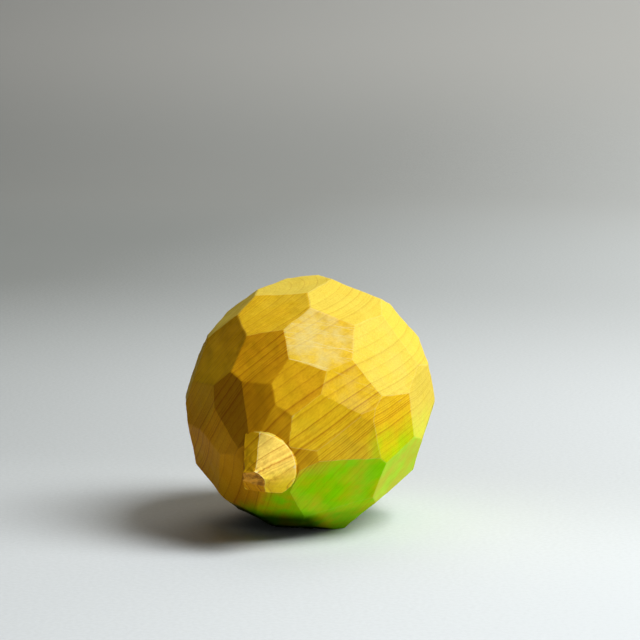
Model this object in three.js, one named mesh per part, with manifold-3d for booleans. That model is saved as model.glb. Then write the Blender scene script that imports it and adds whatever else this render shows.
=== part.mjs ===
// A lemon carved from one block of wood, in millimetres, +Z up.
// The knife has left flat facets all over a lemon's form, and a short conical tip at the blossom end.
// The lemon lies on a small flat facet, with its blossom end towards -Y and dipping a little.
// The origin is the middle of the lemon's footprint, on the surface that it lies on.
import * as THREE from 'three';
import { mergeVertices } from 'three/addons/utils/BufferGeometryUtils.js';
import Module from 'manifold-3d';

// Driving dimensions: the lemon's outer form before the last cuts, and how it lies
const DIAMETER = 62;
const BODY_LENGTH = 75;
const BLOSSOM_DIP = 14;
const ROLL = 0.9;

// Driving dimensions: the tip, a cone on the blossom end, before its flats and its end are cut
const TIP_DIAMETER = 16.6;
const TIP_END_DIAMETER = 3.5;
const TIP_RIM_HEIGHT = 2;
const TIP_HEIGHT = 11;
const TIP_ROOT_DEPTH = 5;
const TIP_SEAT = { side: -0.7, top: -0.2, axis: 35.5 };
const TIP_SIDES = 28;

// Worked out from the driving dimensions
const RADIUS = DIAMETER / 2;
const HALF_LENGTH = BODY_LENGTH / 2;
const BLANK_SIZE = 2 * BODY_LENGTH;

// The cut that the lemon lies on faces straight down
const REST_TILT = 90 - BLOSSOM_DIP;
const REST_TURN = 180 - ROLL;
const REST_DEPTH = 1.8;

// The cuts that no photograph shows follow an even spiral round the form
const SPIRAL_CUTS = 70;
const SPIRAL_TURN = 180 * (3 - Math.sqrt(5));
const SPIRAL_CLEARANCE = 17;
const SPIRAL_DEPTH = { least: 1, most: 1.6 };
const SPIRAL_SEED = 11;

// A cut is a flat facet. Its face is tilted from the blossom end and turned round the lemon's axis,
// from its upper side towards +X, both in degrees, and lies at a depth under the outer form.
const cut = (tilt, turn, depth) => ({ tilt, turn, depth });

const crownCuts = [
  cut(96, 352, 1.6),
  cut(90, 20, 1.6),
  cut(100, 54, 1.5),
];

const upperCuts = [
  cut(88, 321, 1.3),
  cut(78, 350, 1.6),
  cut(64, 21, 1.4),
  cut(78, 52, 1.7),
  cut(89, 85, 1.4),
];

const frontCuts = [
  cut(66, 319, 1.7),
  cut(53, 352, 1.0),
  cut(45, 24, 1.0),
  cut(52, 51, 1.2),
  cut(65, 83, 1.0),
];

const leftCuts = [
  cut(50, 293, 1.1),
  cut(37, 290, 0.8),
  cut(36, 319, 0.8),
  cut(46, 255, 1.9),
  cut(33, 230, 1.7),
];

const aroundTipCuts = [
  cut(34, 346, 0.5),
  cut(26, 19, 0.0),
  cut(40, 60, 1.5),
  cut(49, 73, 0.7),
  cut(43, 84, 1.6),
  cut(31, 85, 0.6),
  cut(6, 140, 0.5),
];

const undersideCuts = [
  cut(42, 119, 2.4),
  cut(74, 115, 1.5),
  cut(55, 143, 1.4),
  cut(30, 179, 0.9),
  cut(56, 205, 1.4),
  cut(62, 178, 1.3),
];

// Just behind the outline that the photograph shows, clockwise from the top
const outlineCuts = [
  cut(120, 350, 1.1),
  cut(118, 20, 2.3),
  cut(123, 48, 2.0),
  cut(112, 80, 1.4),
  cut(96, 108, 1.6),
  cut(82, 138, 1.7),
  cut(64, 231, 1.5),
  cut(70, 264, 1.6),
  cut(78, 293, 1.5),
  cut(92, 302, 0.8),
  cut(108, 325, 1.3),
];

const shownCuts = [
  ...crownCuts,
  ...upperCuts,
  ...frontCuts,
  ...leftCuts,
  ...aroundTipCuts,
  ...undersideCuts,
  ...outlineCuts,
  cut(REST_TILT, REST_TURN, REST_DEPTH),
];

// The tip's own cuts are flats on the cone, each at a reach from the middle of the tip's seat.
// They are its end, its upper flat, its left flat and two flats on its underside.
const tipCuts = [
  { tilt: 25, turn: 195, reach: 8.6 },
  { tilt: 54, turn: 336, reach: 7.4 },
  { tilt: 76, turn: 274, reach: 4.7 },
  { tilt: 68, turn: 183, reach: 7.1 },
  { tilt: 45, turn: 195, reach: 7.5 },
];

// The lemon's own axes: the blossom end, the top and the side
const dip = THREE.MathUtils.degToRad(BLOSSOM_DIP);
const AXIS = new THREE.Vector3(0, -Math.cos(dip), -Math.sin(dip));
const TOP = new THREE.Vector3(0, -Math.sin(dip), Math.cos(dip));
const SIDE = new THREE.Vector3().crossVectors(TOP, AXIS);

const wasm = await Module();
wasm.setup();

// The way that a face looks, from its tilt and turn on the lemon
function facing(tilt, turn) {
  const tiltAngle = THREE.MathUtils.degToRad(tilt);
  const turnAngle = THREE.MathUtils.degToRad(turn + ROLL);
  return new THREE.Vector3()
    .addScaledVector(AXIS, Math.cos(tiltAngle))
    .addScaledVector(TOP, Math.sin(tiltAngle) * Math.cos(turnAngle))
    .addScaledVector(SIDE, Math.sin(tiltAngle) * Math.sin(turnAngle));
}

// How far the outer form reaches from its middle towards a face with this tilt
function reachOfForm(tilt) {
  const tiltAngle = THREE.MathUtils.degToRad(tilt);
  return Math.hypot(RADIUS * Math.sin(tiltAngle), HALF_LENGTH * Math.cos(tiltAngle));
}

// A repeatable random number between 0 and 1 (a 32-bit mixing generator)
function seededRandom(seed) {
  let state = seed;
  return () => {
    state = (state + 0x6d2b79f5) | 0;
    let mixed = Math.imul(state ^ (state >>> 15), 1 | state);
    mixed = (mixed + Math.imul(mixed ^ (mixed >>> 7), 61 | mixed)) ^ mixed;
    return ((mixed ^ (mixed >>> 14)) >>> 0) / 4294967296;
  };
}

// Cuts on an even spiral, kept where no cut made so far faces nearly the same way
function spiralCuts(madeCuts) {
  const random = seededRandom(SPIRAL_SEED);
  const madeFacings = madeCuts.map(({ tilt, turn }) => facing(tilt, turn));
  const clearance = THREE.MathUtils.degToRad(SPIRAL_CLEARANCE);
  const cuts = [];
  for (let step = 0; step < SPIRAL_CUTS; step += 1) {
    const tilt = THREE.MathUtils.radToDeg(Math.acos(1 - (2 * step + 1) / SPIRAL_CUTS));
    const turn = (step * SPIRAL_TURN) % 360;
    const depth = THREE.MathUtils.lerp(SPIRAL_DEPTH.least, SPIRAL_DEPTH.most, random());
    const way = facing(tilt, turn);
    if (madeFacings.every((made) => made.angleTo(way) > clearance)) {
      cuts.push(cut(tilt, turn, depth));
    }
  }
  return cuts;
}

// A solid from a closed three.js geometry
function solidOf(geometry) {
  geometry.deleteAttribute('normal');
  geometry.deleteAttribute('uv');
  const merged = mergeVertices(geometry);
  return new wasm.Manifold(new wasm.Mesh({
    numProp: 3,
    vertProperties: new Float32Array(merged.attributes.position.array),
    triVerts: new Uint32Array(merged.index.array),
  }));
}

// A three.js geometry from a solid
function geometryOf(solid) {
  const mesh = solid.getMesh();
  const geometry = new THREE.BufferGeometry();
  geometry.setAttribute('position', new THREE.BufferAttribute(mesh.vertProperties, mesh.numProp));
  geometry.setIndex(new THREE.BufferAttribute(mesh.triVerts, 1));
  return geometry;
}

// The waste that one flat cut takes away: a block whose lower face lies on the cut
function waste(way, point) {
  const block = new THREE.BoxGeometry(BLANK_SIZE, BLANK_SIZE, BLANK_SIZE);
  block.translate(0, 0, BLANK_SIZE / 2);
  block.applyQuaternion(new THREE.Quaternion().setFromUnitVectors(new THREE.Vector3(0, 0, 1), way));
  block.translate(point.x, point.y, point.z);
  return solidOf(block);
}

// The body: a square blank with every facet cut off it
function carveBody() {
  let body = solidOf(new THREE.BoxGeometry(BLANK_SIZE, BLANK_SIZE, BLANK_SIZE));
  for (const { tilt, turn, depth } of [...shownCuts, ...spiralCuts(shownCuts)]) {
    const way = facing(tilt, turn);
    const point = way.clone().multiplyScalar(reachOfForm(tilt) - depth);
    body = body.subtract(waste(way, point));
  }
  return body;
}

// The tip: a cone on a short round rim, with its own flats and a blunt end
function carveTip() {
  const profile = [
    new THREE.Vector2(0, -TIP_ROOT_DEPTH),
    new THREE.Vector2(TIP_DIAMETER / 2, -TIP_ROOT_DEPTH),
    new THREE.Vector2(TIP_DIAMETER / 2, TIP_RIM_HEIGHT),
    new THREE.Vector2(TIP_END_DIAMETER / 2, TIP_HEIGHT),
    new THREE.Vector2(0, TIP_HEIGHT),
  ];
  const seat = new THREE.Vector3()
    .addScaledVector(SIDE, TIP_SEAT.side)
    .addScaledVector(TOP, TIP_SEAT.top)
    .addScaledVector(AXIS, TIP_SEAT.axis);
  const cone = new THREE.LatheGeometry(profile, TIP_SIDES);
  const upright = new THREE.Vector3(0, 1, 0);
  cone.applyQuaternion(new THREE.Quaternion().setFromUnitVectors(upright, AXIS));
  cone.translate(seat.x, seat.y, seat.z);
  let tip = solidOf(cone);
  for (const { tilt, turn, reach } of tipCuts) {
    const way = facing(tilt, turn);
    tip = tip.subtract(waste(way, seat.clone().addScaledVector(way, reach)));
  }
  return tip;
}

const geometry = geometryOf(carveBody().add(carveTip()));

// The lemon is set down with the middle of its footprint at the origin
geometry.computeBoundingBox();
const { min, max } = geometry.boundingBox;
geometry.translate(-(min.x + max.x) / 2, -(min.y + max.y) / 2, -min.z);
geometry.computeVertexNormals();

const lemon = new THREE.Mesh(
  geometry,
  new THREE.MeshStandardMaterial({ color: 0xe0b01a, roughness: 0.62, metalness: 0, flatShading: true }),
);
lemon.name = 'carved_lemon';

const group = new THREE.Group();
group.add(lemon);

export default group;
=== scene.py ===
"""Dresses the carved wooden lemon: its knife-cut surface, its dyed growth rings and the studio round it."""

from __future__ import annotations

import logging
import math
import random
from collections.abc import Iterable
from dataclasses import dataclass, field
from enum import Enum

import bpy
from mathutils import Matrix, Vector


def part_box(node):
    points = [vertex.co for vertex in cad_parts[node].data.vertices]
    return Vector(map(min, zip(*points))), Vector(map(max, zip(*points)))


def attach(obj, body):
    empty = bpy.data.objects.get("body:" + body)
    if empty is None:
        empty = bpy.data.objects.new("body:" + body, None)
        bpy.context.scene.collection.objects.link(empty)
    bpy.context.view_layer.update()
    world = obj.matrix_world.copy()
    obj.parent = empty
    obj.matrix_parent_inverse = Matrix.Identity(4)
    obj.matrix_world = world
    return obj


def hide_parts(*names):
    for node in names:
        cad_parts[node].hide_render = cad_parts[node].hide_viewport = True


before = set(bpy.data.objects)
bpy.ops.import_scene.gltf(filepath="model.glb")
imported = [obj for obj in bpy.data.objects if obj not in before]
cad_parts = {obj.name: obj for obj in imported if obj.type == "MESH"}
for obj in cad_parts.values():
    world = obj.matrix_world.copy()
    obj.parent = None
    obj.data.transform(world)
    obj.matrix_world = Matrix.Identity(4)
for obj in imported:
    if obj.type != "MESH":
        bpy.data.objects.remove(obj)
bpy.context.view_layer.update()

MM = 0.001
NOISE_MIDDLE = 0.5
TORN_END = "torn_end"
LOG = logging.getLogger("carved_lemon")

# Directions in the frame, as they are seen from the blossom end
LEFT = (-1, 0, 0)
RIGHT = (1, 0, 0)
BACK = (0, 1, 0)
UP = (0, 0, 1)

# The pith line of the block that the lemon was cut from, seen from the lemon's middle
PITH_FROM_MIDDLE = Vector((-34.0, -13.6, 36.2)) * MM
PITH_WAY = Vector((0.664, 0.235, 0.71))

# The dim room, and the part of the backdrop that its own light falls on
ROOM_GREY = (0.80, 0.82, 0.80, 1)
ROOM_STRENGTH = 0.02
BACKDROP_FROM_MIDDLE = Vector((0.1, 1.4, 0.4))

Socket = bpy.types.NodeSocket
Colour = tuple[float, float, float, float]
Pair = tuple[float, float]
Stops = tuple[Pair, ...]
Way = tuple[float, float, float]


class Wear(Enum):
    """How far a facet's dye is rubbed back to pale, dry wood."""

    FRESH = 0.0
    TOUCHED = 0.16
    RUBBED = 0.22
    CHALKY = 1.0


class Tone(Enum):
    """How deep a facet's dye is, partly its own dye and partly painted light: painted shade in the low
    tones, a painted highlight in the pale one.
    """

    SHADE = 0.0
    DEEP = 0.25
    AMBER = 0.32
    WARM = 0.45
    LEMON = 0.65
    PALE = 1.0


class Push(Enum):
    """Which way an unevenness moves the surface."""

    ALL_WAYS = "RGB_TO_XYZ"
    OUTWARDS = "NORMAL"


@dataclass(frozen=True)
class Fade:
    """A smooth change from one strength to another between two places, held beyond them."""

    start: float
    end: float
    low: float = 0.0
    high: float = 1.0


@dataclass(frozen=True)
class LemonForm:
    """The lemon's own axes and landmarks, worked out from the box of its CAD node."""

    low: Vector
    high: Vector
    dip: float = math.radians(14)
    roll: float = math.radians(0.9)
    middle_shares: Way = (0.5, 0.553, 0.488)
    tip_reach: float = 35 * MM
    tip_drop: float = 0.2 * MM
    tip_aside: float = 0.7 * MM

    @property
    def size(self) -> Vector:
        """The lemon's size along each axis of the frame."""
        return self.high - self.low

    @property
    def middle(self) -> Vector:
        """The middle of the lemon's body, a little behind the box's middle because of the tip."""
        return self.low + self.size * Vector(self.middle_shares)

    @property
    def blossom(self) -> Vector:
        """The way that the blossom end points."""
        return Vector((0, -math.cos(self.dip), -math.sin(self.dip)))

    @property
    def top(self) -> Vector:
        """The way that the lemon's upper side faces."""
        return Vector((0, -math.sin(self.dip), math.cos(self.dip)))

    @property
    def tip_seat(self) -> Vector:
        """The middle of the tip's base, at the blossom end."""
        seat = self.middle + self.tip_reach * self.blossom - self.tip_drop * self.top
        return seat - Vector((self.tip_aside, 0, 0))

    def way(self, tilt: float, turn: float) -> Vector:
        """Finds the way that a facet faces.

        Args:
            tilt: Degrees from the blossom end.
            turn: Degrees round the lemon's axis, from its upper side towards +X.

        Returns:
            The facet's outward direction.
        """
        tilt_angle = math.radians(tilt)
        turn_angle = math.radians(turn) + self.roll
        across = math.cos(turn_angle) * self.top + math.sin(turn_angle) * Vector(RIGHT)
        return math.cos(tilt_angle) * self.blossom + math.sin(tilt_angle) * across


@dataclass
class NodeBench:
    """Places shader nodes in one material and joins them."""

    material: bpy.types.Material

    def __post_init__(self) -> None:
        """Starts from an empty node tree."""
        self.material.use_nodes = True
        self.tree = self.material.node_tree
        self.tree.nodes.clear()

    def node(self, kind: str, **settings: object) -> bpy.types.Node:
        """Adds a node.

        Args:
            kind: The node's type name.
            settings: Properties to set on it.

        Returns:
            The new node.
        """
        made = self.tree.nodes.new(kind)
        for name, value in settings.items():
            setattr(made, name, value)
        return made

    def feed(self, socket: Socket, value: object) -> None:
        """Joins another node's output to a socket, or sets the socket's own value.

        Args:
            socket: The input to feed.
            value: An output socket, a number or a tuple of numbers.
        """
        if isinstance(value, bpy.types.NodeSocket):
            self.tree.links.new(value, socket)
        else:
            socket.default_value = value

    def math(self, operation: str, first: object, second: object = 0.0, third: object = 0.0) -> Socket:
        """Works on numbers.

        Args:
            operation: The Math node's operation.
            first: A number or an output socket.
            second: A number or an output socket.
            third: A number or an output socket.

        Returns:
            The result.
        """
        made = self.node("ShaderNodeMath", operation=operation)
        for socket, value in zip(made.inputs, (first, second, third)):
            self.feed(socket, value)
        return made.outputs[0]

    def vector(self, operation: str, first: object, second: object) -> bpy.types.Node:
        """Works on vectors, or on a vector and a number where the operation is SCALE.

        Args:
            operation: The Vector Math node's operation.
            first: A vector or an output socket.
            second: A vector, a number or an output socket.

        Returns:
            The node, whose outputs are named Vector and Value.
        """
        made = self.node("ShaderNodeVectorMath", operation=operation)
        self.feed(made.inputs[0], first)
        self.feed(made.inputs["Scale"] if operation == "SCALE" else made.inputs[1], second)
        return made

    def along(self, place: Socket, way: Way) -> Socket:
        """Measures how far a place lies in a given direction."""
        return self.vector("DOT_PRODUCT", place, way).outputs["Value"]

    def product(self, first: object, *others: object) -> Socket:
        """Multiplies numbers.

        Args:
            first: A number or an output socket.
            others: More of them, one or more.

        Returns:
            The product.
        """
        result = first
        for other in others:
            result = self.math("MULTIPLY", result, other)
        return result

    def mix(self, share: object, first: object, second: object, blend: str = "MIX") -> Socket:
        """Mixes two colours.

        Args:
            share: How much of the second colour, from 0 to 1.
            first: A colour or an output socket.
            second: A colour or an output socket.
            blend: The Mix node's blend type.

        Returns:
            The mixed colour.
        """
        made = self.node("ShaderNodeMix", data_type="RGBA", blend_type=blend)
        self.feed(made.inputs[0], share)
        self.feed(made.inputs[6], first)
        self.feed(made.inputs[7], second)
        return made.outputs[2]

    def fade(self, value: object, fade: Fade) -> Socket:
        """Finds a fade's strength.

        Args:
            value: The number or output socket that runs from the fade's start to its end.
            fade: The fade.

        Returns:
            The strength there.
        """
        made = self.node("ShaderNodeMapRange", interpolation_type="SMOOTHSTEP")
        numbers = (value, fade.start, fade.end, fade.low, fade.high)
        for socket, number in zip(made.inputs, numbers):
            self.feed(socket, number)
        return made.outputs[0]

    def noise(
        self,
        place: Socket,
        scale: float = 1.0,
        detail: float = 2.0,
        roughness: float = 0.5,
    ) -> Socket:
        """Gives soft noise between 0 and 1.

        Args:
            place: Where to read the noise.
            scale: Patches in one unit of the place.
            detail: Layers of finer noise.
            roughness: How strong the finer layers are.

        Returns:
            The noise.
        """
        made = self.node("ShaderNodeTexNoise")
        self.feed(made.inputs["Vector"], place)
        self.feed(made.inputs["Scale"], scale)
        self.feed(made.inputs["Detail"], detail)
        self.feed(made.inputs["Roughness"], roughness)
        return made.outputs["Fac"]

    def swing(self, place: Socket, scale: float, detail: float) -> Socket:
        """Gives soft noise that swings about zero."""
        return self.math("SUBTRACT", self.noise(place, scale, detail), NOISE_MIDDLE)

    def surface(self, inputs: dict[str, object]) -> bpy.types.Material:
        """Closes the material with one surface shader.

        Args:
            inputs: What goes into the shader, by the names of its sockets.

        Returns:
            The finished material.
        """
        shader = self.node("ShaderNodeBsdfPrincipled")
        for name, value in inputs.items():
            self.feed(shader.inputs[name], value)
        output = self.node("ShaderNodeOutputMaterial")
        self.feed(output.inputs["Surface"], shader.outputs["BSDF"])
        return self.material

    def attribute(self, name: str) -> Socket:
        """Reads one of the piece's own attributes as a number."""
        return self.node("ShaderNodeAttribute", attribute_name=name).outputs["Fac"]

    def colours(self, value: Socket, stops: Iterable[tuple[float, Colour]]) -> Socket:
        """Turns a number between 0 and 1 into a colour.

        Args:
            value: The number.
            stops: Pairs of place and colour, in rising order of place.

        Returns:
            The colour.
        """
        made = self.node("ShaderNodeValToRGB")
        points = list(stops)
        while len(made.color_ramp.elements) < len(points):
            made.color_ramp.elements.new(0.5)
        for element, (place, colour) in zip(made.color_ramp.elements, points):
            element.position = place
            element.color = colour
        self.feed(made.inputs[0], value)
        return made.outputs[0]

    def ramp(self, value: Socket, stops: Stops) -> Socket:
        """Shapes a number between 0 and 1 by pairs of place and height, in rising order of place."""
        return self.colours(value, ((place, (height, height, height, 1)) for place, height in stops))


@dataclass(frozen=True)
class RingGrain:
    """The block's growth rings: round a pith line that lies outside the lemon, up and to the left.

    The pith's place is in metres, as the frame is, and all else is in millimetres.
    """

    pith: Vector
    axis: Vector
    widest_radius: float = 55
    rings_per_mm: float = 0.36
    crowding: float = 0.00053
    first_line: float = -0.1
    sways_per_mm: float = 0.05
    sway: float = 0.6
    ripples_per_mm: float = 0.3
    ripple: float = 0.12
    seasons_per_mm: float = 0.4
    season_change: float = 1.8
    late_wood: Stops = ((0, 0.8), (0.04, 1), (0.1, 0.48), (0.28, 0.13), (0.94, 0), (1, 0.8))
    late_wood_strength: Pair = (0.35, 1.0)
    hair_line: Stops = ((0, 0.7), (0.12, 1), (0.4, 0.15), (0.8, 0), (1, 0.7))
    hair_line_strength: Pair = (0.0, 0.8)
    hair_lines_per_ring: float = 3.0
    hair_near_pith: Fade = Fade(32, 38, 0.2, 1)
    hair_inside: Fade = Fade(42, 48, 1, 0.2)
    hair_outside: Fade = Fade(58, 64, 0.2, 1)

    def place(self, bench: NodeBench) -> Socket:
        """Gives Object coordinates in millimetres."""
        coordinates = bench.node("ShaderNodeTexCoord").outputs["Object"]
        return bench.vector("SCALE", coordinates, 1 / MM).outputs["Vector"]

    def along_fibre(self, bench: NodeBench, place: Socket) -> tuple[Socket, Socket]:
        """Splits a place into its distance along the pith line and the rest, across it.

        Args:
            bench: Where the nodes go.
            place: The place, in millimetres.

        Returns:
            The distance along the pith line, and the vector from the pith line to the place.
        """
        from_pith = bench.vector("SUBTRACT", place, tuple(self.pith / MM)).outputs["Vector"]
        along = bench.along(from_pith, tuple(self.axis))
        on_pith = bench.vector("SCALE", tuple(self.axis), along).outputs["Vector"]
        return along, bench.vector("SUBTRACT", from_pith, on_pith).outputs["Vector"]

    def fibre(self, bench: NodeBench, place: Socket, across_scale: float, stretch: float) -> Socket:
        """Gives a place that is drawn out along the fibre, for noise in streaks.

        Args:
            bench: Where the nodes go.
            place: The place, in millimetres.
            across_scale: Streaks in a millimetre across the fibre.
            stretch: How many times longer a streak is than it is wide.

        Returns:
            The drawn-out place.
        """
        along, across = self.along_fibre(bench, place)
        wide = bench.vector("SCALE", across, across_scale).outputs["Vector"]
        length = bench.math("MULTIPLY", along, across_scale / stretch)
        long = bench.vector("SCALE", tuple(self.axis), length).outputs["Vector"]
        return bench.vector("ADD", wide, long).outputs["Vector"]

    def radius(self, bench: NodeBench, place: Socket) -> Socket:
        """Measures how far a place is from the pith line, with the rings' own waviness.

        Args:
            bench: Where the nodes go.
            place: The place, in millimetres.

        Returns:
            The distance, in millimetres.
        """
        _, across = self.along_fibre(bench, place)
        plain = bench.vector("LENGTH", across, (0, 0, 0)).outputs["Value"]
        swaying = bench.swing(place, self.sways_per_mm, detail=1.0)
        rippling = bench.swing(place, self.ripples_per_mm, detail=2.0)
        swayed = bench.math("MULTIPLY_ADD", swaying, self.sway, plain)
        rippled = bench.math("MULTIPLY_ADD", rippling, self.ripple, swayed)
        season = bench.node("ShaderNodeTexNoise", noise_dimensions="1D")
        bench.feed(season.inputs["W"], plain)
        bench.feed(season.inputs["Scale"], self.seasons_per_mm)
        unequal = bench.math("SUBTRACT", season.outputs["Fac"], NOISE_MIDDLE)
        return bench.math("MULTIPLY_ADD", unequal, self.season_change, rippled)

    def count(self, bench: NodeBench, radius: Socket) -> Socket:
        """Counts the rings out to a place: they crowd together away from the widest ones.

        Args:
            bench: Where the nodes go.
            radius: How far the place is from the pith line, in millimetres.

        Returns:
            The number of rings, with the place's share of its own ring.
        """
        offset = bench.math("SUBTRACT", radius, self.widest_radius)
        cubed = bench.math("POWER", bench.math("ABSOLUTE", offset), 3.0)
        signed = bench.math("MULTIPLY", cubed, bench.math("SIGN", offset))
        evenly = bench.math("MULTIPLY_ADD", offset, self.rings_per_mm, self.first_line)
        return bench.math("MULTIPLY_ADD", signed, self.crowding, evenly)

    def line_set(self, bench: NodeBench, count: Socket, stops: Stops, strength: Pair) -> Socket:
        """Draws one line for each whole number, each with a strength of its own.

        Args:
            bench: Where the nodes go.
            count: The number that runs across the lines.
            stops: The line's shape, as pairs of place and darkness.
            strength: The faintest line's strength and the darkest line's.

        Returns:
            How dark the lines are.
        """
        least, most = strength
        line = bench.ramp(bench.math("FRACT", count), stops)
        chance = bench.node("ShaderNodeTexWhiteNoise", noise_dimensions="1D")
        bench.feed(chance.inputs["W"], bench.math("FLOOR", count))
        own = bench.math("MULTIPLY_ADD", chance.outputs["Value"], most - least, least)
        return bench.product(line, own)

    def lines(self, bench: NodeBench, place: Socket) -> Socket:
        """Draws the late-wood lines: a sharp dark start that fades outwards, with fine lines between.

        Args:
            bench: Where the nodes go.
            place: The place, in millimetres.

        Returns:
            How dark the line is, from 0 to 1.
        """
        radius = self.radius(bench, place)
        count = self.count(bench, radius)
        main_lines = self.line_set(bench, count, self.late_wood, self.late_wood_strength)
        fine_count = bench.product(count, self.hair_lines_per_ring)
        hair_lines = self.line_set(bench, fine_count, self.hair_line, self.hair_line_strength)
        inside = bench.fade(radius, self.hair_inside)
        outside = bench.fade(radius, self.hair_outside)
        near_pith = bench.fade(radius, self.hair_near_pith)
        between = bench.math("MINIMUM", bench.math("MAXIMUM", inside, outside), near_pith)
        return bench.math("MAXIMUM", main_lines, bench.product(hair_lines, between))


@dataclass(frozen=True)
class WoodMaps:
    """What the finish reads at each place on the lemon."""

    place: Socket
    lines: Socket
    streaks: Socket
    tone: Socket
    covered: Socket
    rubbed: Socket


@dataclass(frozen=True)
class DyedWood:
    """Wood dyed lemon yellow, with green low on one side and the growth rings showing through.

    Heights, sides and patches are in millimetres.
    """

    grain: RingGrain
    form: LemonForm
    name: str = "dyed_wood"

    # The dye's colours, partly painted shade and highlight, and those of the wood where the dye is thin or
    # torn, with the tip's painted bounce light and the painted contact shade near the floor
    # The shade and deep colours are partly dye and partly painted shade for the shaded facets; the pale
    # ones are partly a painted highlight for the lit facets
    shade_yellow: Colour = (0.43, 0.19, 0.003, 1)
    deep_and_shaded_yellow: Colour = (0.66, 0.305, 0.003, 1)
    yellow: Colour = (0.76, 0.50, 0.008, 1)
    pale_and_sheen_yellow: Colour = (0.68, 0.54, 0.06, 1)
    deep_and_shaded_green: Colour = (0.09, 0.32, 0.002, 1)
    green: Colour = (0.27, 0.71, 0.001, 1)
    pale_and_sheen_green: Colour = (0.51, 0.78, 0.055, 1)
    ring_tint: Colour = (0.57, 0.31, 0.12, 1)
    chalk: Colour = (0.70, 0.70, 0.40, 1)
    bare_wood: Colour = (0.93, 0.68, 0.12, 1)
    # Painted bounce light: the lower side of the tip's cone, brighter than its dye
    bounce_lit_tip_yellow: Colour = (0.98, 0.72, 0.016, 1)
    torn: Colour = (0.72, 0.33, 0.03, 1)
    torn_hollow: Colour = (0.30, 0.12, 0.012, 1)
    # Painted contact shade: a near-black that darkens the wood close to the floor
    painted_contact_shade: Colour = (0.07, 0.08, 0.05, 1)

    # The streaks along the fibre, and the soft drift of the dye's tone
    streaks_per_mm: float = 3.2
    streak_stretch: float = 26
    streak_tint: Fade = Fade(0.3, 0.75, 0, 0.28)
    streaks_under_green: Fade = Fade(0, 1, 1, 0.4)
    blotches_per_mm: float = 0.09
    tone_drift: Fade = Fade(0.3, 0.7, -0.06, 0.06)

    # The green dye: the side it lies on, its splash, its ragged edge and its mottling
    green_way: Way = (0.527, 0.042, -0.847)
    green_edge: Fade = Fade(10.5, 16)
    splash_way: Way = (0.045, 0.05, -1)
    splash_fall: Fade = Fade(-3, 9, 0, 0.65)
    splash_side: Fade = Fade(20.5, 24.5)
    rags_per_mm: float = 0.22
    ragged_edge: float = 5.0
    mottles_per_mm: float = 0.17
    mottle_stretch: float = 1.3
    green_mottle: Fade = Fade(0.32, 0.64, 0.44, 1)

    # How strongly the ring lines show
    lines_on_pale: Fade = Fade(Tone.LEMON.value, Tone.PALE.value, 1, 0.45)
    lines_under_green: Fade = Fade(0, 1, 1, 0.3)
    lines_on_worn: Fade = Fade(0.3, 1, 1, 0.5)

    # The upper side of the tip, from below its seat to above it, and the ridges' pale line: thin dye and a
    # painted edge highlight, strongest on the tip's upper rim
    tip_below_seat: float = 6
    tip_above_seat: float = 1
    ridge_core: Fade = Fade(0.5, 1)
    ridges_on_tip: Fade = Fade(0, 1, 0.14, 0.5)
    ridges_on_bright: Fade = Fade(Tone.WARM.value, Tone.LEMON.value)
    ridges_under_green: Fade = Fade(0, 1, 1, 0.3)

    # The dry rubbing of the worn facets, and the scratches on the chalky one
    rubs_per_mm: float = 0.13
    dry_rub: Fade = Fade(0.38, 0.66, 0.04, 0.38)
    chalky_facet: Pair = (64, 21)
    scratch: Stops = ((0, 0), (0.42, 0), (0.5, 1), (0.58, 0), (1, 0))
    scratch_strength: Pair = (-0.5, 0.9)
    scratches_per_mm: float = 0.75
    scratch_ways: tuple[Way, ...] = ((0.743, 0.474, -0.468), (0.9, -0.1, 0.4))
    wavers_per_mm: float = 0.09
    scratch_waver: float = 1.6
    breaks_per_mm: float = 0.16
    scratch_breaks: Fade = Fade(0.37, 0.47)

    # The tip's torn end, and the painted contact shade close to the floor
    frays_per_mm: float = 0.6
    fray_stretch: float = 3
    fray: Fade = Fade(0.35, 0.6)
    contact_shade_height: Fade = Fade(8.2, 4.8)
    contact_shade_side: Fade = Fade(6, 10.5, 1, 0.25)

    # The surface's dullness and its slight relief
    dullness: Fade = Fade(0.3, 0.7, 0.54, 0.68)
    rubbed_dullness: float = 0.2
    sheen: Fade = Fade(0, 1, 0.06, 0)
    line_relief: float = -0.6
    streak_relief: float = 0.5
    relief_strength: float = 0.35
    relief_depth: float = 0.06 * MM

    def make(self) -> bpy.types.Material:
        """Builds the finish.

        Returns:
            The material, ready for the lemon's slot.
        """
        bench = NodeBench(bpy.data.materials.new(self.name))
        place = self.grain.place(bench)
        fibres = self.grain.fibre(bench, place, self.streaks_per_mm, self.streak_stretch)
        drift = bench.fade(bench.noise(place, self.blotches_per_mm), self.tone_drift)
        maps = WoodMaps(
            place=place,
            lines=self.grain.lines(bench, place),
            streaks=bench.noise(fibres, roughness=0.6),
            tone=bench.math("ADD", bench.attribute("tone"), drift),
            covered=self.green_cover(bench, place),
            rubbed=self.rubbing(bench, place),
        )
        colour = self.dye(bench, maps)
        colour = self.show_grain(bench, maps, colour)
        colour = self.wear_down(bench, maps, colour)
        colour = self.paint_contact_shade(bench, maps, colour)
        dullness = bench.fade(maps.streaks, self.dullness)
        return bench.surface({
            "Base Color": colour,
            "Roughness": bench.math("MULTIPLY_ADD", maps.rubbed, self.rubbed_dullness, dullness),
            "Specular IOR Level": bench.fade(maps.covered, self.sheen),
            "Normal": self.relief(bench, maps),
        })

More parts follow.
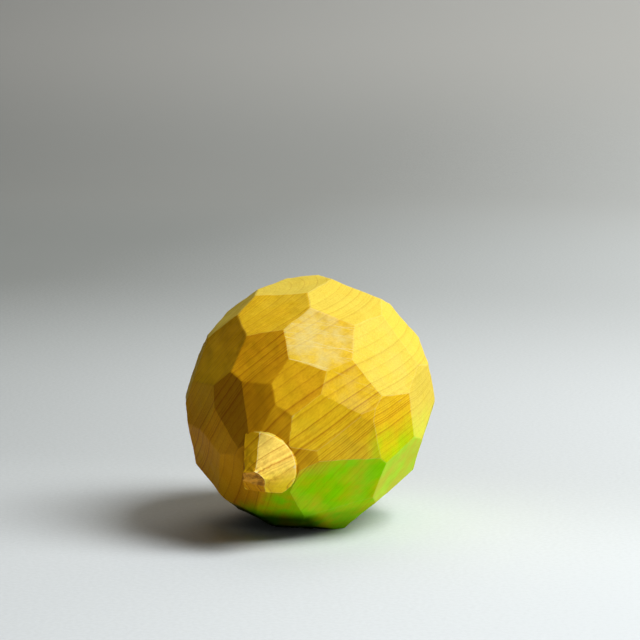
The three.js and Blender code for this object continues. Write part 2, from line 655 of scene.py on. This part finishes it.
    def green_cover(self, bench: NodeBench, place: Socket) -> Socket:
        """Finds how fully the green dye covers a place.

        Args:
            bench: Where the nodes go.
            place: The place, in millimetres.

        Returns:
            The cover, from 0 to 1: whole on the lower facets, splashed up on the right, soft on the left.
        """
        from_middle = bench.vector("SUBTRACT", place, tuple(self.form.middle / MM)).outputs["Vector"]
        ragged = bench.product(bench.swing(place, self.rags_per_mm, detail=3.0), self.ragged_edge)
        below = bench.math("ADD", bench.along(from_middle, self.splash_way), ragged)
        beside = bench.math("ADD", bench.along(from_middle, self.green_way), ragged)
        rightwards = bench.along(from_middle, RIGHT)
        splashed = bench.product(
            bench.fade(below, self.splash_fall),
            bench.fade(rightwards, self.splash_side),
        )
        painted = bench.math("MAXIMUM", bench.attribute("green"), splashed)
        off_tip = bench.math("SUBTRACT", 1.0, bench.attribute("on_tip"))
        return bench.product(painted, bench.fade(beside, self.green_edge), off_tip)

    def rubbing(self, bench: NodeBench, place: Socket) -> Socket:
        """Draws the pale marks of dry rubbing and scratches on the worn facets.

        Args:
            bench: Where the nodes go.
            place: The place, in millimetres.

        Returns:
            How pale the dye is rubbed, from 0 to 1.
        """
        rubs = bench.noise(place, self.rubs_per_mm, detail=3.0, roughness=0.6)
        rubbed = bench.fade(rubs, self.dry_rub)
        facing = self.form.way(*self.chalky_facet)
        waver = bench.product(bench.noise(place, self.wavers_per_mm, detail=1.0), self.scratch_waver)
        breaks = bench.fade(bench.noise(place, self.breaks_per_mm, detail=1.0), self.scratch_breaks)
        for way in self.scratch_ways:
            across = Vector(way).cross(facing).normalized() * self.scratches_per_mm
            count = bench.math("ADD", bench.along(place, tuple(across)), waver)
            scratches = self.grain.line_set(bench, count, self.scratch, self.scratch_strength)
            rubbed = bench.math("MAXIMUM", rubbed, bench.product(scratches, breaks))
        return bench.product(rubbed, bench.attribute("wear"))

    def upper_tip(self, bench: NodeBench, place: Socket) -> Socket:
        """Finds the upper side of the tip.

        Args:
            bench: Where the nodes go.
            place: The place, in millimetres.

        Returns:
            How far up the tip the place is, from 0 to 1.
        """
        seat = self.form.tip_seat.z / MM
        rise = Fade(seat - self.tip_below_seat, seat + self.tip_above_seat)
        return bench.fade(bench.along(place, UP), rise)

    def dye(self, bench: NodeBench, maps: WoodMaps) -> Socket:
        """Dyes the wood yellow by each facet's tone, with its painted shade and highlight, then the tip's
        cone with painted bounce light below, then the patchy green.

        Args:
            bench: Where the nodes go.
            maps: What the finish reads.

        Returns:
            The colour of the dyed wood.
        """
        yellow = bench.colours(maps.tone, (
            (Tone.SHADE.value, self.shade_yellow),
            (Tone.DEEP.value, self.deep_and_shaded_yellow),
            (Tone.LEMON.value, self.yellow),
            (Tone.PALE.value, self.pale_and_sheen_yellow),
        ))
        # The tip's cone: bare wood up top, and below a brighter yellow that is painted bounce light from
        # the floor
        cone = bench.mix(self.upper_tip(bench, maps.place), self.bounce_lit_tip_yellow, self.bare_wood)
        yellow = bench.mix(bench.attribute("bare"), yellow, cone)
        green = bench.colours(maps.tone, (
            (Tone.SHADE.value, self.deep_and_shaded_green),
            (Tone.WARM.value, self.green),
            (Tone.LEMON.value, self.green),
            (Tone.PALE.value, self.pale_and_sheen_green),
        ))
        fibres = self.grain.fibre(bench, maps.place, self.mottles_per_mm, self.mottle_stretch)
        mottle = bench.fade(bench.noise(fibres, detail=3.0, roughness=0.55), self.green_mottle)
        return bench.mix(bench.product(maps.covered, mottle), yellow, green)

    def show_grain(self, bench: NodeBench, maps: WoodMaps, colour: Socket) -> Socket:
        """Darkens the dyed wood along its streaks and its ring lines.

        Args:
            bench: Where the nodes go.
            maps: What the finish reads.
            colour: The colour of the dyed wood.

        Returns:
            The colour with the grain in it.
        """
        streaked = bench.product(
            bench.fade(maps.streaks, self.streak_tint),
            bench.fade(maps.covered, self.streaks_under_green),
        )
        ringed = bench.product(
            maps.lines,
            bench.fade(maps.tone, self.lines_on_pale),
            bench.fade(maps.covered, self.lines_under_green),
            bench.fade(bench.attribute("wear"), self.lines_on_worn),
        )
        colour = bench.mix(streaked, colour, self.ring_tint, "MULTIPLY")
        return bench.mix(ringed, colour, self.ring_tint, "MULTIPLY")

    def wear_down(self, bench: NodeBench, maps: WoodMaps, colour: Socket) -> Socket:
        """Pales the rubbed facets, paints the ridges pale with thin dye and a painted edge highlight, and
        tears the tip's end.

        Args:
            bench: Where the nodes go.
            maps: What the finish reads.
            colour: The colour of the unworn wood.

        Returns:
            The colour of the worn wood, with the painted edge highlight.
        """
        # Painted highlight: the ridges' pale line is partly thin dye and partly a painted edge highlight,
        # strongest on the tip's upper rim and the brighter facets
        tip_rim_highlight = bench.product(bench.attribute("bare"), self.upper_tip(bench, maps.place))
        thin_dye_and_edge_highlight = bench.product(
            bench.fade(bench.attribute("ridge"), self.ridge_core),
            bench.fade(tip_rim_highlight, self.ridges_on_tip),
            bench.fade(maps.tone, self.ridges_on_bright),
            bench.fade(maps.covered, self.ridges_under_green),
        )
        worn = bench.mix(bench.math("MAXIMUM", maps.rubbed, thin_dye_and_edge_highlight), colour, self.chalk)
        fibres = self.grain.fibre(bench, maps.place, self.frays_per_mm, self.fray_stretch)
        frayed = bench.mix(bench.fade(bench.noise(fibres), self.fray), self.torn_hollow, self.torn)
        return bench.mix(bench.attribute("torn"), worn, frayed)

    def paint_contact_shade(self, bench: NodeBench, maps: WoodMaps, colour: Socket) -> Socket:
        """Paints shade on the wood close to the floor, and more so on the left, where the contact shadow
        falls.

        Args:
            bench: Where the nodes go.
            maps: What the finish reads.
            colour: The colour before the painted shade.

        Returns:
            The colour with the painted contact shade on it.
        """
        # Painted shade: darkest close to the floor and on the left
        contact_shaded = bench.product(
            bench.fade(bench.along(maps.place, UP), self.contact_shade_height),
            bench.fade(bench.along(maps.place, RIGHT), self.contact_shade_side),
        )
        return bench.mix(contact_shaded, colour, self.painted_contact_shade, "MULTIPLY")

    def relief(self, bench: NodeBench, maps: WoodMaps) -> Socket:
        """Sinks the ring lines a little, and raises the streaks.

        Args:
            bench: Where the nodes go.
            maps: What the finish reads.

        Returns:
            The way that the surface faces.
        """
        raised = bench.product(maps.streaks, self.streak_relief)
        height = bench.math("MULTIPLY_ADD", maps.lines, self.line_relief, raised)
        bump = bench.node("ShaderNodeBump")
        bench.feed(bump.inputs["Height"], height)
        bench.feed(bump.inputs["Strength"], self.relief_strength)
        bench.feed(bump.inputs["Distance"], self.relief_depth)
        return bump.outputs["Normal"]


@dataclass(frozen=True)
class StudioPaper:
    """Matt paper for the floor and the backdrop, with painted light in its colour: pale by the window, and
    painted shade greying it to the left and behind.

    Lengths are in metres.
    """

    name: str = "studio_paper"
    # The paper's colour carries painted light: pale by the window, grey where painted shade falls to the
    # left and behind, and a lighter grey up the wall, partly painted light
    pale: Colour = (0.60, 0.64, 0.66, 1)
    grey: Colour = (0.215, 0.23, 0.226, 1)
    wall: Colour = (0.355, 0.36, 0.347, 1)
    dullness: float = 0.9
    sheen: float = 0.1
    tooth_per_metre: float = 900
    tooth: Fade = Fade(0.3, 0.7, -0.04, 0.04)
    # Painted shade: the paper greys to the left and behind, as the window's light falls off
    shade_leftwards: Fade = Fade(-0.12, 0.4, 0, 0.62)
    shade_backwards: tuple[Fade, ...] = (Fade(-0.03, 0.08, 0, 0.2), Fade(0.15, 0.5, 0, 0.28))
    wall_start: Fade = Fade(0.6, 1.0, 0, 0.36)
    wall_rise: Fade = Fade(0.0, 0.09, 0, 0.64)

    def make(self) -> bpy.types.Material:
        """Builds the finish.

        Returns:
            The material for the stage.
        """
        bench = NodeBench(bpy.data.materials.new(self.name))
        place = bench.node("ShaderNodeTexCoord").outputs["Object"]
        backwards = bench.along(place, BACK)
        # The paper's tooth, plus the painted shade to the left and behind
        tooth_and_shade = bench.fade(bench.noise(place, self.tooth_per_metre, detail=3.0), self.tooth)
        leftward_shade = bench.fade(bench.along(place, LEFT), self.shade_leftwards)
        tooth_and_shade = bench.math("ADD", tooth_and_shade, leftward_shade)
        for fade in self.shade_backwards:
            tooth_and_shade = bench.math("ADD", tooth_and_shade, bench.fade(backwards, fade))
        floor = bench.mix(tooth_and_shade, self.pale, self.grey)
        risen = bench.fade(bench.along(place, UP), self.wall_rise)
        on_wall = bench.math("ADD", bench.fade(backwards, self.wall_start), risen)
        return bench.surface({
            "Base Color": bench.mix(on_wall, floor, self.wall),
            "Roughness": self.dullness,
            "Specular IOR Level": self.sheen,
        })


@dataclass(frozen=True)
class Facet:
    """One of the knife's flat cuts, named by the way it faces, with its own wear and its tone, which holds
    its dye with painted shade on the shaded facets and a painted highlight on the lit ones.
    """

    tilt: float
    turn: float
    tone: Tone
    wear: Wear = Wear.FRESH


@dataclass(frozen=True)
class Unevenness:
    """A soft unevenness of the cut surface."""

    name: str
    patch: float
    height: float
    push: Push
    group: str = ""

    def work(self, piece: bpy.types.Object) -> None:
        """Moves the piece's surface and applies the result.

        Args:
            piece: The object to work on, which is active.
        """
        texture = bpy.data.textures.new(self.name, type="CLOUDS")
        texture.cloud_type = "COLOR" if self.push is Push.ALL_WAYS else "GRAYSCALE"
        texture.noise_scale = self.patch
        modifier = piece.modifiers.new(self.name, "DISPLACE")
        modifier.texture = texture
        modifier.texture_coords = "LOCAL"
        modifier.direction = self.push.value
        modifier.mid_level = NOISE_MIDDLE
        modifier.strength = self.height
        modifier.vertex_group = self.group
        bpy.ops.object.modifier_apply(modifier=modifier.name)


@dataclass
class CarvedLemon:
    """The lemon itself: the CAD node's facets, cut finely and worked over as the knife left them."""

    node: bpy.types.Object
    form: LemonForm
    seed: int = 7

    # How the CAD mesh is joined into facets, and then cut finely
    merge: float = 0.02 * MM
    flat_angle: float = math.radians(0.6)
    even_angle: float = math.radians(0.5)
    longest_edge: float = 0.7 * MM
    shortest_edge: float = 0.14 * MM
    crisp_angle: float = math.radians(13.5)
    rest_band: float = 0.3 * MM

    # How the facets, the ridges and the tip are told apart
    same_way: float = math.cos(math.radians(2))
    ridge_turn: float = math.cos(math.radians(14))
    tip_radius: float = 8.4 * MM
    tip_rise: float = 3.5 * MM
    tip_end: Pair = (25, 195)
    green_fall: float = -0.3
    pale_rise: float = 0.25

    # What is marked on each facet, and the dye and wear of those that the photograph shows, with painted
    # shade in the tones of the shaded left facets and the tip's land and left flat, and a painted highlight
    # in the pale tones of the lit upper and right ones
    mark_names: tuple[str, ...] = ("tone", "wear", "on_tip", "torn", "bare", "green")
    # Upward-facing facets draw paler tones than the rest: partly dye, partly a painted highlight where the
    # light falls from above
    upper_tones: tuple[Tone, ...] = (Tone.LEMON, Tone.PALE)
    lower_tones: tuple[Tone, ...] = (Tone.WARM, Tone.LEMON)
    tip_facets: tuple[Facet, ...] = (
        Facet(54, 336, Tone.WARM),
        Facet(76, 274, Tone.SHADE),
        Facet(68, 183, Tone.WARM),
        Facet(45, 195, Tone.DEEP),
    )
    known_facets: tuple[Facet, ...] = (
        Facet(96, 352, Tone.PALE),
        Facet(90, 20, Tone.PALE),
        Facet(100, 54, Tone.PALE),
        Facet(89, 85, Tone.PALE),
        Facet(88, 321, Tone.PALE),
        Facet(78, 52, Tone.PALE, Wear.TOUCHED),
        Facet(74, 115, Tone.PALE),
        Facet(78, 350, Tone.LEMON),
        Facet(64, 21, Tone.LEMON, Wear.CHALKY),
        Facet(45, 24, Tone.WARM),
        Facet(52, 51, Tone.LEMON, Wear.RUBBED),
        Facet(65, 83, Tone.LEMON),
        Facet(40, 60, Tone.LEMON),
        Facet(49, 73, Tone.LEMON),
        Facet(43, 84, Tone.LEMON),
        Facet(31, 85, Tone.WARM),
        Facet(26, 19, Tone.AMBER),
        Facet(34, 346, Tone.DEEP),
        Facet(66, 319, Tone.WARM),
        Facet(50, 293, Tone.AMBER),
        Facet(53, 352, Tone.AMBER),
        Facet(36, 319, Tone.SHADE),
        Facet(37, 290, Tone.DEEP),
        Facet(46, 255, Tone.DEEP),
        Facet(33, 230, Tone.DEEP),
        Facet(30, 179, Tone.DEEP),
        Facet(6, 140, Tone.DEEP),
    )

    # How far the knife wandered, and the torn fibres of the tip's end
    uneven: tuple[Unevenness, ...] = (
        Unevenness("knife_wander", 14 * MM, 0.7 * MM, Push.ALL_WAYS),
        Unevenness("edge_waver", 4 * MM, 0.28 * MM, Push.ALL_WAYS),
        Unevenness("torn_fibres", 0.9 * MM, 0.9 * MM, Push.OUTWARDS, TORN_END),
    )
    piece: bpy.types.Object = field(init=False)

    def build(self) -> None:
        """Models the lemon from a copy of its CAD node."""
        bpy.ops.object.select_all(action="DESELECT")
        self.piece = bpy.data.objects.new("lemon_wood", self.node.data.copy())
        bpy.context.scene.collection.objects.link(self.piece)
        self.piece.select_set(True)
        bpy.context.view_layer.objects.active = self.piece
        self.clean_facets()
        self.mark_facets()
        self.refine()
        self.mark_ridges()
        for unevenness in self.uneven:
            unevenness.work(self.piece)
        self.level_rest()
        bpy.ops.object.shade_smooth_by_angle(angle=self.crisp_angle)

    def clean_facets(self) -> None:
        """Merges the loose triangles and joins those of one facet."""
        bpy.ops.object.mode_set(mode="EDIT")
        bpy.ops.mesh.select_all(action="SELECT")
        bpy.ops.mesh.remove_doubles(threshold=self.merge)
        bpy.ops.mesh.dissolve_limited(angle_limit=self.flat_angle)
        bpy.ops.object.mode_set(mode="OBJECT")

    def mark_facets(self) -> None:
        """Gives each facet its own dye and wear, and marks the tip and its torn end."""
        mesh = self.piece.data
        chance = random.Random(self.seed)
        marks: dict[str, list[float]] = {name: [] for name in self.mark_names}
        group = self.piece.vertex_groups.new(name=TORN_END)
        end_way = self.form.way(*self.tip_end)
        for polygon in mesh.polygons:
            on_tip = self.is_on_tip(polygon)
            torn = on_tip and polygon.normal.dot(end_way) > self.same_way
            known = self.facet_like(polygon.normal, self.tip_facets if on_tip else self.known_facets)
            bare = on_tip and known is None
            green = polygon.normal.z < self.green_fall and not on_tip
            likely = self.upper_tones if polygon.normal.z > self.pale_rise else self.lower_tones
            facet = known or Facet(0, 0, Tone.LEMON if on_tip else chance.choice(likely))
            if torn:
                group.add(list(polygon.vertices), 1.0, "REPLACE")
            found = (facet.tone.value, facet.wear.value, on_tip, torn, bare, green)
            for values, value in zip(marks.values(), found):
                values.append(float(value))
        for name, values in marks.items():
            mesh.attributes.new(name, "FLOAT", "FACE").data.foreach_set("value", values)

    def facet_like(self, normal: Vector, facets: Iterable[Facet]) -> Facet | None:
        """Finds the facet that faces a given way.

        Args:
            normal: The way that a face looks.
            facets: The facets to look among.

        Returns:
            The facet, or None where the face belongs to none of them.
        """
        for facet in facets:
            if normal.dot(self.form.way(facet.tilt, facet.turn)) > self.same_way:
                return facet
        return None

    def is_on_tip(self, polygon: bpy.types.MeshPolygon) -> bool:
        """Tells whether a face belongs to the tip.

        Args:
            polygon: The face.

        Returns:
            True where all of it lies near the tip's own axis, and some of it stands clear of the body.
        """
        reaches = []
        for index in polygon.vertices:
            out = self.piece.data.vertices[index].co - self.form.tip_seat
            reaches.append(out.dot(self.form.blossom))
            if (out - reaches[-1] * self.form.blossom).length > self.tip_radius:
                return False
        return max(reaches) > self.tip_rise and min(reaches) > -self.tip_radius

    def refine(self) -> None:
        """Cuts the facets into small, even triangles, and merges the slivers."""
        mesh = self.piece.data
        longest = max((mesh.vertices[a].co - mesh.vertices[b].co).length for a, b in mesh.edge_keys)
        rounds = math.ceil(math.log2(longest / self.longest_edge)) + 1
        for _ in range(rounds):
            bpy.ops.object.mode_set(mode="EDIT")
            bpy.ops.mesh.select_mode(type="EDGE")
            bpy.ops.mesh.select_all(action="SELECT")
            self.split_faces()
            bpy.ops.mesh.beautify_fill(angle_limit=self.even_angle)
            bpy.ops.mesh.select_all(action="DESELECT")
            bpy.ops.object.mode_set(mode="OBJECT")
            for edge in mesh.edges:
                start, end = (mesh.vertices[index].co for index in edge.vertices)
                edge.select = (end - start).length > self.longest_edge
            bpy.ops.object.mode_set(mode="EDIT")
            bpy.ops.mesh.subdivide(number_cuts=1)
            bpy.ops.mesh.select_all(action="SELECT")
            self.split_faces()
            bpy.ops.object.mode_set(mode="OBJECT")
        bpy.ops.object.mode_set(mode="EDIT")
        bpy.ops.mesh.remove_doubles(threshold=self.shortest_edge)
        bpy.ops.mesh.dissolve_degenerate(threshold=self.merge)
        self.split_faces()
        bpy.ops.object.mode_set(mode="OBJECT")

    def split_faces(self) -> None:
        """Splits the selected faces into well-shaped triangles."""
        bpy.ops.mesh.quads_convert_to_tris(quad_method="BEAUTY", ngon_method="BEAUTY")

    def mark_ridges(self) -> None:
        """Marks the edges between facets, where the dye is thin and a painted edge highlight goes."""
        mesh = self.piece.data
        normals: dict[tuple[int, int], Vector] = {}
        ridges = [0.0] * len(mesh.vertices)
        for polygon in mesh.polygons:
            for key in polygon.edge_keys:
                across = normals.setdefault(key, polygon.normal.copy())
                if across.dot(polygon.normal) < self.ridge_turn:
                    ridges[key[0]] = ridges[key[1]] = 1.0
        mesh.attributes.new("ridge", "FLOAT", "POINT").data.foreach_set("value", ridges)

    def level_rest(self) -> None:
        """Puts the facet that the lemon lies on back on the floor."""
        floor = self.form.low.z
        for vertex in self.piece.data.vertices:
            if vertex.co.z < floor + self.rest_band:
                vertex.co.z = floor

    def dress(self, finish: DyedWood) -> None:
        """Finishes the lemon and ties it to its CAD body.

        Args:
            finish: The lemon's dyed wood.
        """
        self.piece.data.materials.clear()
        self.piece.data.materials.append(finish.make())
        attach(self.piece, "root")
        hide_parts(self.node.name)


@dataclass
class PaperSweep:
    """The floor and backdrop: one sheet that curves up behind the lemon."""

    half_width: float = 4.0
    front: float = -4.0
    bend_start: float = 0.9
    bend_radius: float = 0.5
    bend_steps: int = 24
    height: float = 2.5
    merge: float = 0.1 * MM
    sheet: bpy.types.Object = field(init=False)

    def build(self) -> None:
        """Models the sheet from a flat floor, with its back edge spun up into a wall."""
        bpy.ops.object.select_all(action="DESELECT")
        length = self.bend_start - self.front
        bpy.ops.mesh.primitive_plane_add(size=1, location=(0, 0, 0))
        self.sheet = bpy.context.active_object
        self.sheet.name = "paper_sweep"
        bpy.ops.object.mode_set(mode="EDIT")
        bpy.ops.transform.resize(value=(2 * self.half_width, length, 1))
        bpy.ops.transform.translate(value=(0, self.front + length / 2, 0))
        self.select_far_edge()
        bpy.ops.mesh.spin(
            steps=self.bend_steps,
            angle=math.radians(90),
            center=(0, self.bend_start, self.bend_radius),
            axis=LEFT,
        )
        bpy.ops.mesh.extrude_region_move(TRANSFORM_OT_translate={"value": (0, 0, self.height)})
        bpy.ops.mesh.select_all(action="SELECT")
        bpy.ops.mesh.remove_doubles(threshold=self.merge)
        bpy.ops.mesh.normals_make_consistent(inside=False)
        bpy.ops.object.mode_set(mode="OBJECT")
        bpy.ops.object.shade_smooth()

    def select_far_edge(self) -> None:
        """Selects the floor's edge behind the lemon."""
        bpy.ops.mesh.select_mode(type="EDGE")
        bpy.ops.mesh.select_all(action="DESELECT")
        bpy.ops.object.mode_set(mode="OBJECT")
        mesh = self.sheet.data
        for edge in mesh.edges:
            edge.select = all(mesh.vertices[index].co.y > self.bend_start - MM for index in edge.vertices)
        bpy.ops.object.mode_set(mode="EDIT")

    def dress(self, finish: StudioPaper) -> None:
        """Finishes the sheet with its paper."""
        self.sheet.data.materials.append(finish.make())


@dataclass(frozen=True)
class StudioLight:
    """One soft panel of light."""

    name: str
    azimuth: float
    elevation: float
    distance: float
    width: float
    height: float
    watts: float
    colour: tuple[float, float, float] = (1, 1, 1)

    def build(self, target: Vector) -> None:
        """Hangs the panel.

        Args:
            target: The point that it is aimed at.
        """
        panel = bpy.data.lights.new(self.name, "AREA")
        panel.shape = "RECTANGLE"
        panel.size = self.width
        panel.size_y = self.height
        panel.energy = self.watts
        panel.color = self.colour
        lamp = bpy.data.objects.new(self.name, panel)
        bpy.context.scene.collection.objects.link(lamp)
        away = heading(self.azimuth, self.elevation)
        lamp.location = target + away * self.distance
        lamp.rotation_euler = (-away).to_track_quat("-Z", "Y").to_euler()


@dataclass(frozen=True)
class PhotoCamera:
    """The photograph's camera: where it stands, and where the lemon's middle falls in its picture."""

    name: str = "photo_camera"
    azimuth: float = 17
    elevation: float = 9.5
    distance: float = 0.65
    focal_pixels: float = 2600
    picture_pixels: float = 640
    middle_column: float = 310
    middle_row: float = 402

    def build(self, middle: Vector) -> None:
        """Sets up the camera.

        Args:
            middle: The lemon's middle.
        """
        data = bpy.data.cameras.new(self.name)
        data.lens = self.focal_pixels * data.sensor_width / self.picture_pixels
        camera = bpy.data.objects.new(self.name, data)
        bpy.context.scene.collection.objects.link(camera)
        back = heading(self.azimuth, self.elevation)
        right = Vector(UP).cross(back).normalized()
        up = back.cross(right)
        pixel = self.distance / self.focal_pixels
        half = self.picture_pixels / 2
        aim = middle + right * pixel * (half - self.middle_column) + up * pixel * (self.middle_row - half)
        camera.location = middle + back * self.distance
        camera.rotation_euler = (aim - camera.location).to_track_quat("-Z", "Y").to_euler()
        bpy.context.scene.camera = camera


def heading(azimuth: float, elevation: float) -> Vector:
    """Gives a direction away from the lemon.

    Args:
        azimuth: Degrees from -Y towards +X.
        elevation: Degrees above the floor.

    Returns:
        The direction, one long.
    """
    turn = math.radians(azimuth)
    rise = math.radians(elevation)
    return Vector((math.sin(turn) * math.cos(rise), -math.cos(turn) * math.cos(rise), math.sin(rise)))


def light_room() -> None:
    """Sets the dim grey of the room and plain colour handling."""
    world = bpy.data.worlds.new("room")
    world.use_nodes = True
    room = world.node_tree.nodes["Background"]
    room.inputs["Color"].default_value = ROOM_GREY
    room.inputs["Strength"].default_value = ROOM_STRENGTH
    bpy.context.scene.world = world
    bpy.context.scene.view_settings.view_transform = "Standard"


def hang_lights(middle: Vector) -> None:
    """Hangs the window, the card in front, the glow of the far wall and the wash on the backdrop.

    Args:
        middle: The lemon's middle.
    """
    StudioLight(
        "window", azimuth=97.5, elevation=50, distance=1.1, width=0.56, height=0.81, watts=19.8,
    ).build(middle)
    StudioLight(
        "front_card", azimuth=40, elevation=12, distance=1.2, width=0.6, height=0.6, watts=1.4,
    ).build(middle)
    StudioLight(
        "far_wall", azimuth=190, elevation=50, distance=1.2, width=1.0, height=0.8, watts=4.2,
        colour=(1, 0.9, 0.77),
    ).build(middle)
    StudioLight(
        "backdrop_wash", azimuth=20, elevation=35, distance=0.8, width=0.6, height=0.3, watts=8,
    ).build(middle + BACKDROP_FROM_MIDDLE)


def main() -> None:
    """Builds the lemon, its stage, its lights and its camera, in that order."""
    logging.basicConfig(level=logging.INFO, format="%(message)s")
    form = LemonForm(*(Vector(corner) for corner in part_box("carved_lemon")))

    lemon = CarvedLemon(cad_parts["carved_lemon"], form)
    lemon.build()
    grain = RingGrain(form.middle + PITH_FROM_MIDDLE, PITH_WAY.normalized())
    lemon.dress(DyedWood(grain, form))
    LOG.info("%s: %d triangles", lemon.piece.name, len(lemon.piece.data.polygons))

    sweep = PaperSweep()
    sweep.build()
    sweep.dress(StudioPaper())
    LOG.info("%s: floor and backdrop", sweep.sheet.name)

    light_room()
    hang_lights(form.middle)
    PhotoCamera().build(form.middle)


if __name__ == "__main__":
    main()
